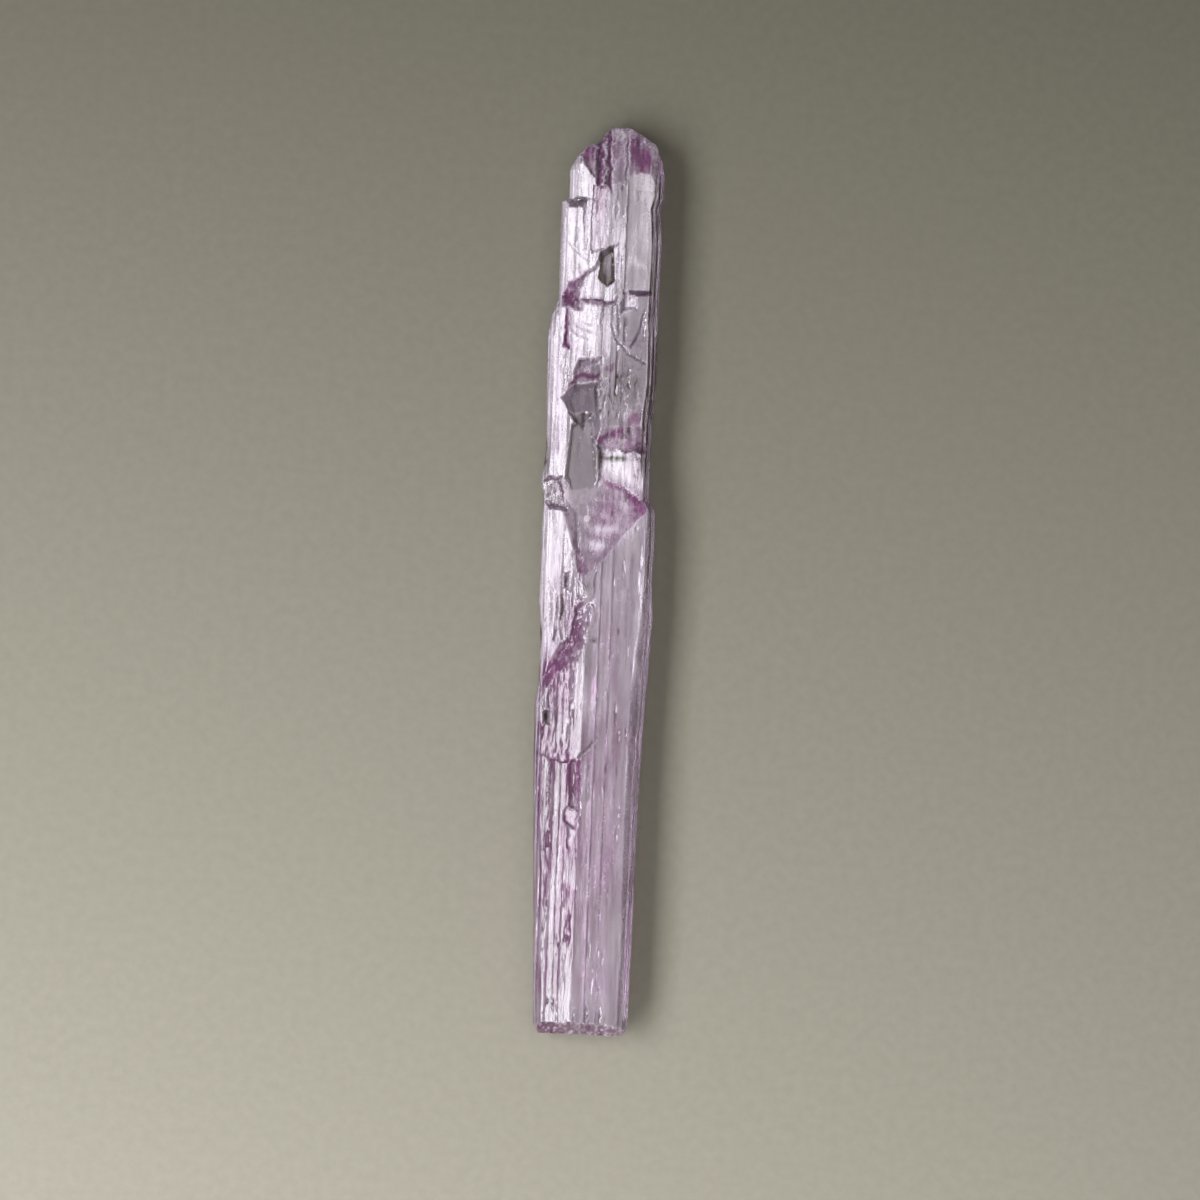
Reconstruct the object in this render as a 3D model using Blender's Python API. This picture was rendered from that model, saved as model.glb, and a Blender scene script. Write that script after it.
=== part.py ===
"""Kunzite crystal: one long, flattened prism that lies on its broad back face.

The crystal runs along Y with its grown tip at +Y and its broken end at -Y. Its front, the side
with the chips and ledges, faces +Z. The origin is on the resting face, under the middle of the
crystal. Dimensions are in millimetres and become metres when the mesh is made.
"""

import bisect

import bmesh
import bpy
from mathutils import Vector

MM = 0.001
NAME = "kunzite_crystal"

# Overall size: the crystal reaches from -HALF_LENGTH to +HALF_LENGTH along Y
HALF_LENGTH = 73.0
THICKNESS = 9.5
HALF_WIDTH = 9.45

# Colour seen through the crystal, and its polish
LILAC = (0.56, 0.42, 0.57)
POLISH_ROUGHNESS = 0.12
REFRACTIVE_INDEX = 1.66
CLEARNESS = 0.9

# Side outlines as (y, x), from the broken end to the tip. The short steps are where a growth
# layer ends and the next one stands out past it.
LEFT_OUTLINE = (
    (-HALF_LENGTH, -6.3), (-71.4, -7.1), (-51.5, -7.85), (-31.5, -8.7), (-20.2, -9.0), (-16.8, -8.5),
    (-10.5, -8.4), (-3.5, -8.9), (10.8, -9.0), (12.6, -8.9), (15.7, -HALF_WIDTH), (17.8, -9.1),
    (21.0, -8.8), (28.5, -9.1), (38.8, -9.35), (42.6, -8.75), (45.2, -7.8), (60.7, -8.0), (61.0, -6.85),
    (65.8, -6.85), (67.2, -6.35), (68.5, -5.4), (69.9, -4.0), (70.3, -2.4), (71.2, -1.7),
    (72.2, -1.1), (HALF_LENGTH, -0.5),
)
RIGHT_OUTLINE = (
    (-HALF_LENGTH, 7.2), (-71.8, 8.1), (-51.0, 8.3), (-31.0, 8.45), (-20.0, 8.85), (-5.3, HALF_WIDTH),
    (-0.2, 9.0), (5.0, 9.3), (11.4, 9.1), (13.4, 8.05), (21.6, 8.0), (27.0, 8.1), (31.8, 8.5),
    (45.9, 8.25), (53.6, 8.4), (59.8, 8.0), (61.8, 8.5), (65.5, 8.35), (67.7, 8.0), (69.0, 7.55),
    (70.2, 6.9), (71.4, 5.5), (72.5, 3.6), (HALF_LENGTH, 2.4),
)

# Heights across the front as (x, z): the left face climbs to a ridge, the right face falls
# gently away from it, and the short jumps are the edges of growth layers
FRONT_PROFILE = (
    (-9.6, 6.9), (-7.6, 7.4), (-7.45, 7.65), (-5.55, 8.15), (-5.4, 7.95), (-3.3, 8.7), (-3.2, 8.9),
    (-1.2, THICKNESS), (0.9, 9.35), (1.0, 9.15), (2.7, 9.1), (2.85, 8.85), (5.1, 8.7), (5.2, 8.85),
    (9.6, 8.35),
)
# Heights near each side as (distance in from the outline, z)
LEFT_SIDE = ((0.0, 4.2), (0.35, 6.1), (1.05, 7.35), (3.0, 12.0))
RIGHT_SIDE = ((0.0, 4.6), (0.35, 5.9), (0.6, 6.2), (1.0, 7.7), (1.45, 8.6), (2.0, 12.0))

# Lower sides and the back as (distance in from the outline, z), then the lengthwise hollows
# between the resting faces of the back as (x, z)
LEFT_UNDERSIDE = ((0.45, 2.3), (1.0, 1.7), (2.3, 0.0))
RIGHT_UNDERSIDE = ((0.35, 2.6), (0.9, 1.6), (1.9, 0.0))
BACK_PROFILE = (
    (2.6, 0.0), (1.9, 0.35), (0.4, 0.35), (0.2, 0.0), (-2.2, 0.0), (-2.6, 0.3), (-3.6, 0.3), (-3.9, 0.0),
)

# Hollows of the front. Each is the space above all of its planes, and a single plane makes a
# sloping facet. A plane is (x, y, z, rise along x, rise along y): a point on it and how steeply
# it rises towards +X and +Y.
FRONT_HOLLOWS = {
    "tip_middle_facet": ((-1.0, 63.4, 9.5, 0.05, -0.62), (-4.3, 67.0, 7.0, -1.85, -1.7)),
    "tip_right_facet": ((5.0, 66.5, 8.8, -0.12, -0.95),),
    "tip_right_corner": ((6.9, 64.0, 8.6, -1.2, -0.55),),
    "tip_left_corner": ((-5.6, 67.2, 7.5, 0.9, -0.9),),
    "tip_furrow_left": ((-2.3, 66.5, 6.5, 1.9, -0.62), (-2.3, 66.5, 6.5, -1.9, -0.62)),
    "tip_furrow_middle": ((-0.4, 66.5, 6.8, 1.9, -0.6), (-0.4, 66.5, 6.8, -1.9, -0.6)),
    "tip_furrow_right": ((2.3, 68.0, 6.2, 2.2, -0.66), (2.3, 68.0, 6.2, -2.2, -0.66)),
    "block_undercut": (
        (-6.0, 61.0, 6.7, 0.0, 8.0), (-6.0, 60.9, 6.7, 0.2, -0.95), (-4.1, 60.5, 6.7, 7.0, 0.0),
    ),
    "block_slot": (
        (-4.15, 60.0, 7.5, 3.5, 0.0), (-4.15, 60.0, 7.5, -3.5, 0.0), (-4.15, 57.0, 8.2, 0.0, -0.5),
    ),
    "right_panel_step": (
        (5.0, 62.5, 8.35, 0.0, 6.0), (5.0, 62.4, 8.35, 0.0, -0.07), (4.25, 60.0, 8.35, -5.0, 0.0),
    ),
    "diagonal_ledge": (
        (-3.5, 48.4, 7.3, -1.5, 1.61), (-3.0, 47.0, 7.35, 0.25, 0.03), (-3.0, 44.9, 7.35, 0.1, -2.0),
        (1.0, 48.0, 8.0, 1.6, 0.0),
    ),
    "ledge_root": (
        (-6.0, 46.0, 6.1, -0.9, 1.4), (-6.0, 45.4, 5.9, 0.0, -1.1), (-4.8, 45.0, 6.5, 1.5, -0.3),
    ),
    "right_ledge": ((5.0, 46.5, 7.9, 0.0, 5.0), (5.0, 46.4, 7.9, 0.0, -1.3), (3.6, 46.0, 7.9, -4.0, 0.0)),
    "right_spall": (
        (3.3, 45.0, 8.0, 0.5, 0.1), (3.3, 45.8, 8.0, 0.6, 2.5), (3.3, 43.7, 8.0, 0.4, -2.2),
        (2.55, 45.0, 7.7, -4.0, 0.0),
    ),
    "side_slot": ((-6.4, 40.0, 7.45, 3.0, 0.0), (-6.4, 40.0, 7.45, -3.0, 0.0), (-6.4, 37.5, 7.7, 0.0, -1.0)),
    "cave": (
        (-2.5, 33.4, 7.5, 0.05, -0.25), (-2.5, 35.2, 7.6, 0.0, 3.5), (-4.3, 34.0, 7.6, -2.4, 0.9),
        (-0.9, 33.0, 7.7, 3.0, 0.0),
    ),
    "arrow_facet": (
        (-3.5, 28.4, 7.1, 0.16, -0.33), (-5.3, 30.8, 8.0, -0.95, 0.95), (-2.5, 32.3, 8.9, -0.1, 1.35),
        (-1.0, 29.0, 7.8, 3.0, 0.0), (-5.6, 27.3, 7.95, -0.75, -0.6),
    ),
    "window": (
        (-2.5, 19.5, 6.8, 0.08, 0.05), (-5.1, 20.0, 7.95, -0.55, 0.0), (-0.6, 19.0, 7.2, 1.5, 0.25),
        (-3.4, 25.4, 7.7, -0.6, 1.1), (-3.5, 15.2, 6.6, -0.1, -0.65),
    ),
    "right_hollow": (
        (3.0, 17.0, 6.6, 0.28, 0.0), (2.0, 21.2, 6.6, -0.15, 0.75), (-0.1, 19.0, 6.0, -3.0, 0.0),
        (0.1, 16.9, 5.85, 0.168, -0.205), (5.5, 9.0, 8.7, 0.4, -0.42), (6.2, 20.0, 8.0, 1.6, 0.5),
    ),
    "break_across": (
        (0.1, 16.9, 5.8, 0.165, -0.208), (5.5, 9.0, 8.6, 0.38, -0.415), (-4.5, 6.6, 8.3, -0.8, -0.3),
        (-3.0, 13.5, 6.1, 0.2, 0.45),
    ),
    "left_etch": (
        (-7.5, 14.0, 5.9, 0.35, 0.05), (-7.5, 15.9, 5.9, 0.0, 2.6), (-7.5, 12.0, 5.9, 0.0, -2.0),
        (-6.2, 14.0, 6.3, 2.2, 0.6),
    ),
    "upper_cleft": (
        (-2.9, -6.5, 8.1, -1.4, 0.28), (-2.9, -6.5, 8.1, 1.1, -0.22), (-2.6, -4.6, 8.4, 0.0, 0.5),
    ),
    "slanting_cleft": (
        (-6.0, -13.4, 6.9, -1.3, 0.78), (-6.0, -13.4, 6.9, 1.2, -0.72), (-3.6, -9.4, 8.2, 0.0, 0.6),
    ),
    "strip_notch_outer": (
        (-8.2, -8.5, 6.4, 1.8, 0.0), (-8.2, -8.5, 6.4, -1.0, 0.0), (-8.2, -6.6, 6.9, 0.0, 0.9),
        (-8.2, -10.4, 6.8, 0.0, -1.6),
    ),
    "strip_notch_inner": (
        (-6.1, -8.8, 7.2, 2.0, 0.0), (-6.1, -8.8, 7.2, -2.0, 0.0), (-6.1, -7.6, 7.5, 0.0, 0.8),
        (-6.1, -10.0, 7.5, 0.0, -1.6),
    ),
    "break_slot": (
        (-4.9, 0.2, 7.4, 3.0, 0.0), (-4.9, 0.2, 7.4, -3.0, 0.0), (-4.9, 1.4, 7.8, 0.0, 2.0),
        (-4.9, -1.4, 7.8, 0.0, -2.0),
    ),
    "right_edge_bevel": ((6.4, -18.0, 8.6, -0.75, 0.06), (6.4, -18.0, 8.6, -0.75, 0.0)),
    "small_pit": (
        (-7.0, -22.0, 6.9, 1.3, 0.0), (-7.0, -22.0, 6.9, -1.0, 0.0), (-7.0, -21.4, 7.0, 0.0, 1.5),
        (-7.0, -22.8, 7.0, 0.0, -1.5),
    ),
    "arc_step": (
        (-6.0, -28.9, 7.5, 0.25, 0.09), (-6.0, -28.9, 7.5, -0.2, -2.4), (-3.4, -27.0, 8.2, 2.0, 0.0),
    ),
    "slanting_groove": (
        (0.0, -26.6, 9.0, 1.4, -1.25), (0.0, -26.6, 9.0, -1.4, 1.25), (1.4, -24.4, 9.2, 0.9, 0.9),
        (-1.8, -28.2, 8.9, -0.9, -0.9),
    ),
    "long_groove": (
        (-2.0, -33.0, 8.35, 0.1, 0.0), (-1.35, -33.0, 8.5, 3.0, 0.0), (-2.75, -33.0, 8.4, -2.0, 0.0),
        (-2.0, -29.4, 8.5, 0.0, 2.0), (-2.0, -36.6, 8.5, 0.0, -2.0),
    ),
    "lower_spall": (
        (-2.6, -37.8, 8.2, 0.4, 0.1), (-2.6, -36.8, 8.3, 0.0, 2.0), (-2.6, -38.9, 8.2, 0.0, -1.6),
        (-3.6, -38.0, 8.1, -2.2, 0.0),
    ),
    "lower_groove": (
        (-2.7, -41.0, 8.3, 2.5, 0.0), (-2.7, -41.0, 8.3, -2.5, 0.0), (-2.7, -42.8, 8.4, 0.0, -1.0),
        (-2.7, -39.4, 8.4, 0.0, 1.5),
    ),
    "end_front_facet": ((0.0, -72.0, 6.6, 0.08, 2.2),),
}

# Hollows of the back. Each is the space below all of its planes.
BACK_HOLLOWS = {
    "tip_back_facet": ((0.0, 66.2, 0.0, 0.03, 0.36),),
    "tip_back_corner": ((5.2, 64.6, 0.0, 0.45, 0.3),),
    "end_back_facet": ((0.0, -71.4, 0.0, 0.05, -0.9),),
    "back_chip": ((4.5, 33.0, 0.9, 0.3, -0.1), (4.5, 38.0, 0.6, 0.0, -0.9), (4.5, 27.0, 0.9, 0.1, 0.4)),
    "back_ledge": (
        (-3.4, -22.0, 0.8, -0.45, 0.02), (-3.4, -14.0, 0.7, 0.2, -1.2), (-3.4, -34.0, 0.7, 0.0, 0.14),
    ),
    "back_scar": ((3.2, -44.0, 0.7, 0.25, -0.08), (3.2, -38.0, 0.6, 0.0, -0.9), (3.2, -50.0, 0.9, 0.0, 0.3)),
    "back_nick": ((-5.2, 8.0, 0.8, -0.4, 0.1), (-5.2, 12.0, 0.6, 0.0, -0.8), (-5.2, 4.5, 0.6, 0.0, 0.6)),
}

# How many points of each side's heights belong to the side itself; the front's profile runs between
LEFT_SIDE_POINTS = 3
RIGHT_SIDE_POINTS = 5

# The blocks that the hollows are cut with reach this far past the crystal
MARGIN = 3.0

# Points closer together than this are one point
WELD_DISTANCE = 0.001


def clear_scene():
    """Remove the objects that are already in the scene."""
    for thing in list(bpy.data.objects):
        bpy.data.objects.remove(thing, do_unlink=True)


def along(points, position):
    """Value at a position on a polyline of (position, value) points, held level past its ends."""
    places = [place for place, _ in points]
    after = bisect.bisect_right(places, position)
    if after == 0:
        return points[0][1]
    if after == len(points):
        return points[-1][1]
    (start, first), (end, last) = points[after - 1], points[after]
    return first + (last - first) * (position - start) / (end - start)


def front_height(x, left, right):
    """Height of the uncut front at x, between a left and a right outline."""
    return min(along(FRONT_PROFILE, x), along(LEFT_SIDE, x - left), along(RIGHT_SIDE, right - x))


def section(y):
    """Closed outline of the uncut prism across its length, as a list of points."""
    left = along(LEFT_OUTLINE, y)
    right = along(RIGHT_OUTLINE, y)
    left_side = [left + distance for distance, _ in LEFT_SIDE[:LEFT_SIDE_POINTS]]
    right_side = [right - distance for distance, _ in reversed(RIGHT_SIDE[:RIGHT_SIDE_POINTS])]
    middle = [min(max(x, left_side[-1]), right_side[0]) for x, _ in FRONT_PROFILE[1:-1]]
    across = left_side + middle + right_side
    front = [(x, front_height(x, left, right)) for x in across]

    narrow = min(1.0, (right - left) / (2.0 * HALF_WIDTH))
    under_right = [(right - distance * narrow, z) for distance, z in RIGHT_UNDERSIDE]
    back = [(x * narrow + (left + right) / 2.0 * (1.0 - narrow), z) for x, z in BACK_PROFILE]
    under_left = [(left + distance * narrow, z) for distance, z in reversed(LEFT_UNDERSIDE)]
    return [Vector((x, y, z)) for x, z in front + under_right + back + under_left]


def uncut_prism():
    """Mesh of the prism: a section at every corner of the outlines, bridged end to end."""
    stations = sorted({y for y, _ in LEFT_OUTLINE + RIGHT_OUTLINE})
    shape = bmesh.new()
    rings = []
    for y in stations:
        corners = [shape.verts.new(point) for point in section(y)]
        rings.append([shape.edges.new((corners[i - 1], corners[i])) for i in range(len(corners))])
    for lower, upper in zip(rings, rings[1:]):
        bmesh.ops.bridge_loops(shape, edges=lower + upper)
    for end in (rings[0], rings[-1]):
        bmesh.ops.edgeloop_fill(shape, edges=end)
    bmesh.ops.remove_doubles(shape, verts=shape.verts, dist=WELD_DISTANCE)
    bmesh.ops.recalc_face_normals(shape, faces=shape.faces)
    return shape


def hollow_block(planes, is_front):
    """Block that fills a hollow: a box around the crystal, sliced by each of the planes."""
    shape = bmesh.new()
    bmesh.ops.create_cube(shape, size=1.0)
    size = Vector((HALF_WIDTH + MARGIN, HALF_LENGTH + MARGIN, THICKNESS / 2.0 + MARGIN)) * 2.0
    bmesh.ops.scale(shape, vec=size, verts=shape.verts)
    bmesh.ops.translate(shape, vec=(0.0, 0.0, THICKNESS / 2.0), verts=shape.verts)
    for x, y, z, rise_x, rise_y in planes:
        sliced = bmesh.ops.bisect_plane(
            shape, geom=shape.verts[:] + shape.edges[:] + shape.faces[:],
            plane_co=(x, y, z), plane_no=(-rise_x, -rise_y, 1.0),
            clear_inner=is_front, clear_outer=not is_front,
        )
        rim = [part for part in sliced["geom_cut"] if isinstance(part, bmesh.types.BMEdge)]
        bmesh.ops.edgeloop_fill(shape, edges=rim)
    bmesh.ops.recalc_face_normals(shape, faces=shape.faces)
    return shape


def add_object(name, shape, collection):
    """Turn a mesh in millimetres into an object in metres."""
    bmesh.ops.scale(shape, vec=(MM, MM, MM), verts=shape.verts)
    mesh = bpy.data.meshes.new(name)
    shape.to_mesh(mesh)
    shape.free()
    thing = bpy.data.objects.new(name, mesh)
    collection.objects.link(thing)
    return thing


def cut(crystal, name, planes, is_front):
    """Cut one hollow out of the crystal."""
    cutter = add_object("cutter_" + name, hollow_block(planes, is_front), bpy.context.collection)
    cutter.hide_render = True
    cutter.display_type = "WIRE"
    boolean = crystal.modifiers.new(name, "BOOLEAN")
    boolean.operation = "DIFFERENCE"
    boolean.solver = "EXACT"
    boolean.object = cutter


def kunzite_material():
    """Clear lilac crystal."""
    material = bpy.data.materials.new("kunzite_lilac")
    material.use_nodes = True
    shader = material.node_tree.nodes["Principled BSDF"]
    shader.inputs["Base Color"].default_value = (*LILAC, 1.0)
    shader.inputs["Roughness"].default_value = POLISH_ROUGHNESS
    shader.inputs["Metallic"].default_value = 0.0
    shader.inputs["IOR"].default_value = REFRACTIVE_INDEX
    shader.inputs["Transmission Weight"].default_value = CLEARNESS
    return material


def main():
    """Build the crystal in an empty scene."""
    clear_scene()
    crystal = add_object(NAME, uncut_prism(), bpy.context.collection)
    crystal.data.materials.append(kunzite_material())
    for name, planes in FRONT_HOLLOWS.items():
        cut(crystal, name, planes, is_front=True)
    for name, planes in BACK_HOLLOWS.items():
        cut(crystal, name, planes, is_front=False)


main()
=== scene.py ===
"""Looks of the kunzite crystal: growth lines, etching, fractures, colour and clear crystal.

The crystal lies on its broad back with its grown tip at +Y and its chipped front up. Its surface is
worked out in millimetres on a grid that goes round the prism and along it, and becomes metres when
the mesh is made. Frost, violet and dark brown are values from 0 to 1 at each point: how milky the
skin is, how deep its colour and how dark it is. The dark brown is partly a brown tint and partly
painted shade: in cracks, grooves, pits and recessed floors, under the hollow's roof and along the
right side, which faces away from the light. The camera looks straight down on the front.
"""

import math

import bpy
import numpy as np
from mathutils import Matrix, Vector


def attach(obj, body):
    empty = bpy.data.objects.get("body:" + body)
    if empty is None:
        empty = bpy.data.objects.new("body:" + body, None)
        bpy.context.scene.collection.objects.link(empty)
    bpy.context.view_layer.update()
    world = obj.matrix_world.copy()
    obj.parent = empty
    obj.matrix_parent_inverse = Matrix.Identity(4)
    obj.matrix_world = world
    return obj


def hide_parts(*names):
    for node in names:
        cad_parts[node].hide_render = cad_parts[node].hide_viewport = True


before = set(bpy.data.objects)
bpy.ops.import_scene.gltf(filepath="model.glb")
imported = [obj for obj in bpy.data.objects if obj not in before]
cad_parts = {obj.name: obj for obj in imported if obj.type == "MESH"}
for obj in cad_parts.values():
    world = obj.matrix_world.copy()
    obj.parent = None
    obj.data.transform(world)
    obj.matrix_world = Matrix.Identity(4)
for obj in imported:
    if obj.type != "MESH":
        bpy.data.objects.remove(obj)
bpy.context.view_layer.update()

MM = 0.001

# Overall size of the crystal
HALF_LENGTH = 73.0
HALF_WIDTH = 9.45
THICKNESS = 9.5

# Side outlines as (y, x), from the broken end to the tip
LEFT_OUTLINE = (
    (-HALF_LENGTH, -6.3), (-71.4, -7.1), (-51.5, -7.85), (-31.5, -8.7), (-20.2, -9.0), (-16.8, -8.5),
    (-10.5, -8.4), (-3.5, -8.9), (10.8, -9.0), (12.6, -8.9), (15.7, -HALF_WIDTH), (17.8, -9.1),
    (21.0, -8.8), (28.5, -9.1), (38.8, -9.35), (42.6, -8.75), (45.2, -7.8), (60.7, -8.0), (61.0, -6.85),
    (65.8, -6.85), (67.2, -6.35), (68.5, -5.4), (69.9, -4.0), (70.3, -2.4), (71.2, -1.7),
    (72.2, -1.1), (HALF_LENGTH, -0.5),
)
RIGHT_OUTLINE = (
    (-HALF_LENGTH, 7.2), (-71.8, 8.1), (-51.0, 8.3), (-31.0, 8.45), (-20.0, 8.85), (-5.3, HALF_WIDTH),
    (-0.2, 9.0), (5.0, 9.3), (11.4, 9.1), (13.4, 8.05), (21.6, 8.0), (27.0, 8.1), (31.8, 8.5),
    (45.9, 8.25), (53.6, 8.4), (59.8, 8.0), (61.8, 8.5), (65.5, 8.35), (67.7, 8.0), (69.0, 7.55),
    (70.2, 6.9), (71.4, 5.5), (72.5, 3.6), (HALF_LENGTH, 2.4),
)

# Heights across the front as (x, z), and near each side as (distance in from the outline, z)
FRONT_PROFILE = (
    (-9.6, 6.9), (-7.6, 7.4), (-7.3, 7.6), (-5.55, 8.1), (-5.2, 8.0), (-3.3, 8.7), (-3.1, 8.85),
    (-1.2, THICKNESS), (0.9, 9.35), (1.1, 9.2), (2.7, 9.1), (2.9, 8.95), (5.1, 8.75), (5.3, 8.75),
    (9.6, 8.35),
)
LEFT_SIDE = ((0.0, 4.2), (0.35, 6.1), (1.05, 7.35), (3.0, 12.0))
RIGHT_SIDE = ((0.0, 4.6), (0.35, 5.9), (0.6, 6.2), (1.0, 7.7), (1.45, 8.6), (2.0, 12.0))

# Lower sides as (distance in from the outline, z), and the back as (x, z)
LEFT_UNDERSIDE = ((0.0, 4.2), (0.45, 2.3), (1.0, 1.7), (2.3, 0.0))
RIGHT_UNDERSIDE = ((0.0, 4.6), (0.35, 2.6), (0.9, 1.6), (1.9, 0.0))
BACK_PROFILE = (
    (-3.9, 0.0), (-3.6, 0.3), (-2.6, 0.3), (-2.2, 0.0), (0.2, 0.0), (0.4, 0.35), (1.9, 0.35), (2.6, 0.0),
)

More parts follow.
